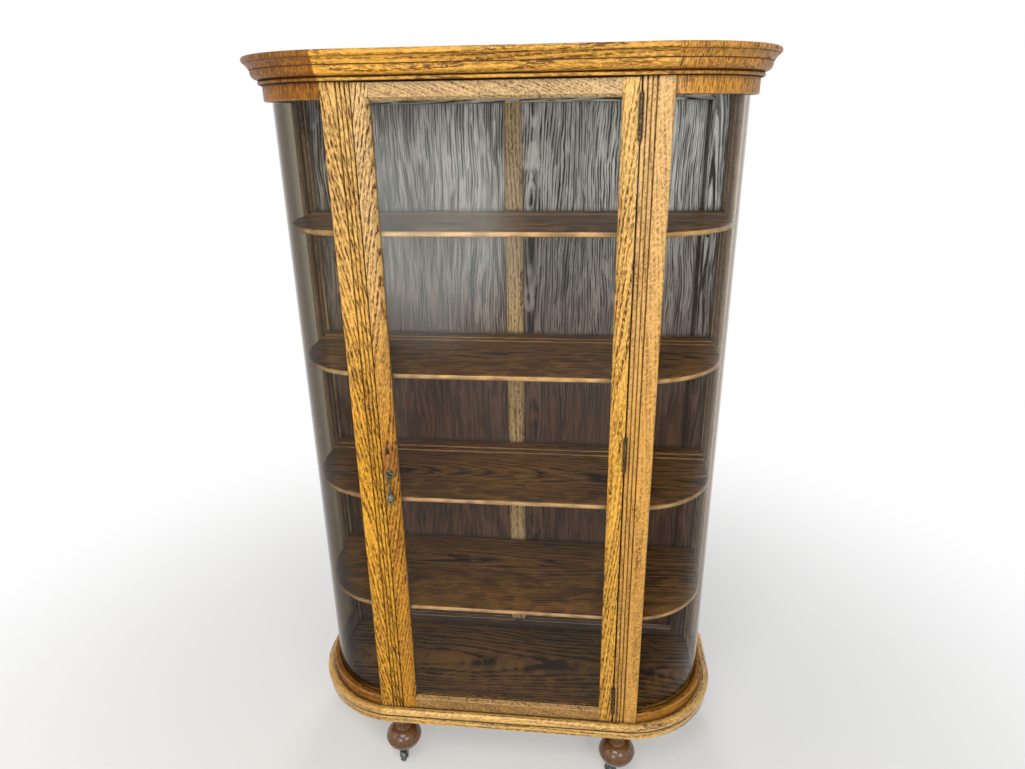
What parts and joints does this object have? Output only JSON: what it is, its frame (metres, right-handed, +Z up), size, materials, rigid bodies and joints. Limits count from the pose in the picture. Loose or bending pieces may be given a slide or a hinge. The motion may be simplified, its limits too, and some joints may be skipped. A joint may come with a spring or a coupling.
{
  "type": "china cabinet",
  "caption": "Oak china cabinet with one flat glass door, bent glass sides, curved shelves, ball feet and swivel casters.",
  "frame": {"origin": "on the floor, under the middle of the cornice's width and of the cabinet's whole depth", "axes": "+X to the right of someone facing the door, -Y out of the front, +Z up"},
  "size_m": [0.954, 0.341, 1.524],
  "materials": {
    "golden_oak": "golden oak under old glossy varnish",
    "bent_oak": "darker, redder quarter-sawn oak under varnish",
    "inside_oak": "brown oak, satin",
    "rough_oak": "unvarnished secondary wood",
    "turned_oak": "dark glossy varnish",
    "window_glass": "clear, faint green at the edges",
    "dark_brass": "tarnished",
    "bronze": "green-brown patina",
    "lock_brass": "dull",
    "caster_metal": "worn grey-green"
  },
  "bodies": {
    "cabinet": {"base_front": "golden_oak", "base_left": "golden_oak", "base_right": "golden_oak", "base_back_rail": "rough_oak", "floor_board": "inside_oak", "ceiling_board": "inside_oak", "top_board": "rough_oak", "pilaster_left": "golden_oak", "pilaster_right": "golden_oak", "rear_post_left": "bent_oak", "rear_post_right": "bent_oak", "bottom_rail_left": "bent_oak", "bottom_rail_right": "bent_oak", "frieze_left": "bent_oak", "frieze_right": "bent_oak", "side_glass_left": "window_glass", "side_glass_right": "window_glass", "side_glass_beads": "inside_oak", "cornice_front": "golden_oak", "cornice_left": "bent_oak", "cornice_right": "bent_oak", "back_stile_left": "inside_oak", "back_stile_right": "inside_oak", "back_mullion": "inside_oak", "back_bottom_rail": "inside_oak", "back_top_rail": "inside_oak", "back_panels": "inside_oak", "shelf_1": "inside_oak", "shelf_2": "inside_oak", "shelf_3": "inside_oak", "shelf_4": "inside_oak", "shelf_pins": "inside_oak", "door_stops": "inside_oak", "strike_plate": "dark_brass", "hinge_frame_leaves": "dark_brass", "hinge_frame_screws": "dark_brass", "hinge_pins": "dark_brass", "ball_feet": "turned_oak", "caster_sockets": "caster_metal"},
    "door": {"door_stile_left": "golden_oak", "door_stile_right": "golden_oak", "door_rail_top": "golden_oak", "door_rail_bottom": "golden_oak", "door_glass": "window_glass", "door_glass_beads": "inside_oak", "lock_case": "lock_brass", "keyhole_escutcheon": "bronze", "pull_plate": "bronze", "hinge_door_leaves": "dark_brass", "hinge_door_screws": "dark_brass"},
    "lock_bolt": {"lock_bolt": "lock_brass"},
    "pull_drop": {"pull_drop": "bronze"},
    "fork_front_left": {"caster_fork_front_left": "caster_metal"},
    "wheel_front_left": {"caster_wheel_front_left": "caster_metal"},
    "fork_front_right": {"caster_fork_front_right": "caster_metal"},
    "wheel_front_right": {"caster_wheel_front_right": "caster_metal"},
    "fork_rear_left": {"caster_fork_rear_left": "caster_metal"},
    "wheel_rear_left": {"caster_wheel_rear_left": "caster_metal"},
    "fork_rear_right": {"caster_fork_rear_right": "caster_metal"},
    "wheel_rear_right": {"caster_wheel_rear_right": "caster_metal"}
  },
  "joints": [
    {"name": "door_hinge", "type": "hinge", "parent": "cabinet", "child": "door", "pos_m": [0.2324, -0.1425, 0.828], "axis": [0, 0, 1], "range_deg": [0, 170]},
    {"name": "bolt_slide", "type": "slide", "parent": "door", "child": "lock_bolt", "axis": [-1, 0, 0], "range_m": [0, 0.006]},
    {"name": "pull_swing", "type": "hinge", "parent": "door", "child": "pull_drop", "pos_m": [-0.22075, -0.147, 0.768], "axis": [-1, 0, 0], "range_deg": [0, 85]},
    {"name": "swivel_front_left", "type": "hinge", "parent": "cabinet", "child": "fork_front_left", "pos_m": [-0.2476, -0.1115, 0.036], "axis": [0, 0, 1], "continuous": true},
    {"name": "wheel_front_left", "type": "hinge", "parent": "fork_front_left", "child": "wheel_front_left", "pos_m": [-0.2476, -0.1235, 0.014], "axis": [1, 0, 0], "continuous": true},
    {"name": "swivel_front_right", "type": "hinge", "parent": "cabinet", "child": "fork_front_right", "pos_m": [0.2476, -0.1115, 0.036], "axis": [0, 0, 1], "continuous": true},
    {"name": "wheel_front_right", "type": "hinge", "parent": "fork_front_right", "child": "wheel_front_right", "pos_m": [0.2356, -0.1115, 0.014], "axis": [0, -1, 0], "continuous": true},
    {"name": "swivel_rear_left", "type": "hinge", "parent": "cabinet", "child": "fork_rear_left", "pos_m": [-0.421, 0.1255, 0.036], "axis": [0, 0, 1], "continuous": true},
    {"name": "wheel_rear_left", "type": "hinge", "parent": "fork_rear_left", "child": "wheel_rear_left", "pos_m": [-0.421, 0.1375, 0.014], "axis": [-1, 0, 0], "continuous": true},
    {"name": "swivel_rear_right", "type": "hinge", "parent": "cabinet", "child": "fork_rear_right", "pos_m": [0.421, 0.1255, 0.036], "axis": [0, 0, 1], "continuous": true},
    {"name": "wheel_rear_right", "type": "hinge", "parent": "fork_rear_right", "child": "wheel_rear_right", "pos_m": [0.427, 0.13589, 0.014], "axis": [-0.866, 0.5, 0], "continuous": true}
  ]
}
